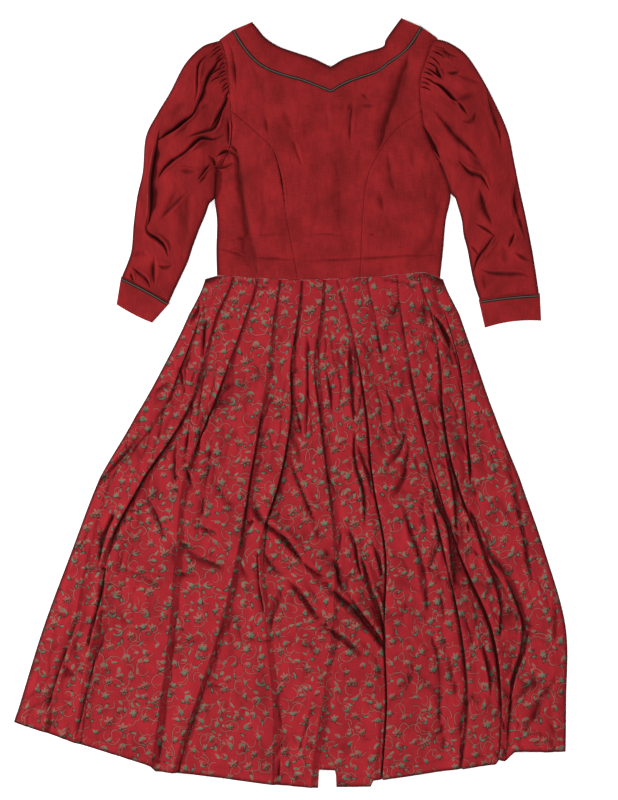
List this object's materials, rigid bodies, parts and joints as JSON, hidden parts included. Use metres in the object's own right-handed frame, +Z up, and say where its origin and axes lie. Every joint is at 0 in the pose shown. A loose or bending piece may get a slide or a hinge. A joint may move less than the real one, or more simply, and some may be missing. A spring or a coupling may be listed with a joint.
{
  "type": "dirndl dress",
  "caption": "Dirndl dress laid flat on its back: fitted bodice with a piped neckline, puffed three-quarter sleeves with piped cuffs, and a long knife-pleated printed skirt.",
  "frame": {"origin": "middle of the dress's overall box, on the surface it lies on", "axes": "+Z up off the surface, +Y towards the neck, +X to the right of whoever looks down on the front"},
  "size_m": [0.8852, 1.229, 0.0195],
  "materials": {
    "red_cloth": "plain woven cotton, deep red",
    "printed_cloth": "woven cotton, red with a small grey-green flower print",
    "piping": "dark green corded piping"
  },
  "bodies": {
    "root": {"bodice_back": "red_cloth", "bodice_front": "red_cloth", "bodice_side_left": "red_cloth", "bodice_side_right": "red_cloth", "cuff_left": "red_cloth", "cuff_piping_left": "piping", "cuff_piping_right": "piping", "cuff_right": "red_cloth", "neck_band": "red_cloth", "neck_piping": "piping", "skirt_back": "printed_cloth", "skirt_front": "printed_cloth", "sleeve_left": "red_cloth", "sleeve_right": "red_cloth"}
  },
  "joints": []
}
